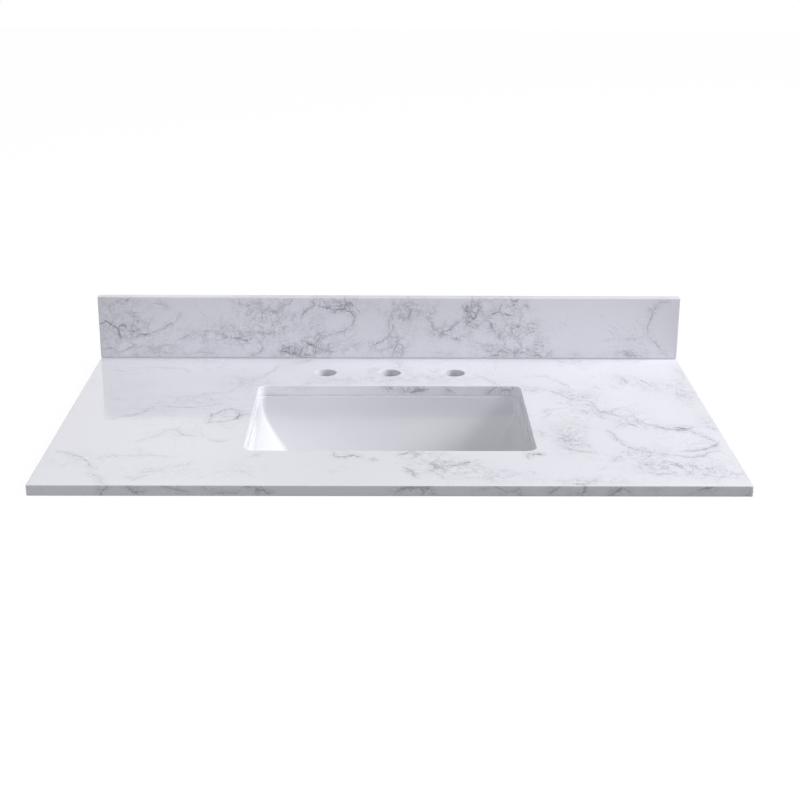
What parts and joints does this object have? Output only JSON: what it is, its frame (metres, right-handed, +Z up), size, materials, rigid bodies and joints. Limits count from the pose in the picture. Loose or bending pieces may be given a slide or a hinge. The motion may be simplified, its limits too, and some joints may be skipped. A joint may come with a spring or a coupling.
{
  "type": "bathroom vanity top with undermount basin",
  "caption": "Engineered-stone vanity top with a matching backsplash, a rectangular undermount ceramic basin held by clips, and holes for a widespread tap.",
  "frame": {"origin": "the middle of the rear edge of the slab's underside, where it meets the wall and lies on the cabinet's back rail", "axes": "+X to the right as seen by the user, +Y into the wall, +Z up, away from the cabinet"},
  "size_m": [0.9398, 0.5588, 0.293],
  "materials": {
    "stone": "polished, white with fine grey-brown veins",
    "ceramic": "glossy white glaze",
    "silicone": "cured translucent white silicone",
    "brass": "plain turned",
    "zinc_steel": "bright zinc plate"
  },
  "bodies": {
    "root": {"stone_top": "stone", "backsplash": "stone", "backsplash_sealant": "silicone", "basin": "ceramic", "basin_sealant": "silicone", "anchor_front_left": "brass", "anchor_rear_left": "brass", "anchor_front_right": "brass", "anchor_rear_right": "brass", "stud_front_left": "zinc_steel", "stud_rear_left": "zinc_steel", "stud_front_right": "zinc_steel", "stud_rear_right": "zinc_steel", "clip_front_left": "zinc_steel", "clip_rear_left": "zinc_steel", "clip_front_right": "zinc_steel", "clip_rear_right": "zinc_steel", "washer_front_left": "zinc_steel", "washer_rear_left": "zinc_steel", "washer_front_right": "zinc_steel", "washer_rear_right": "zinc_steel", "wing_nut_front_left": "zinc_steel", "wing_nut_rear_left": "zinc_steel", "wing_nut_front_right": "zinc_steel", "wing_nut_rear_right": "zinc_steel"}
  },
  "joints": []
}
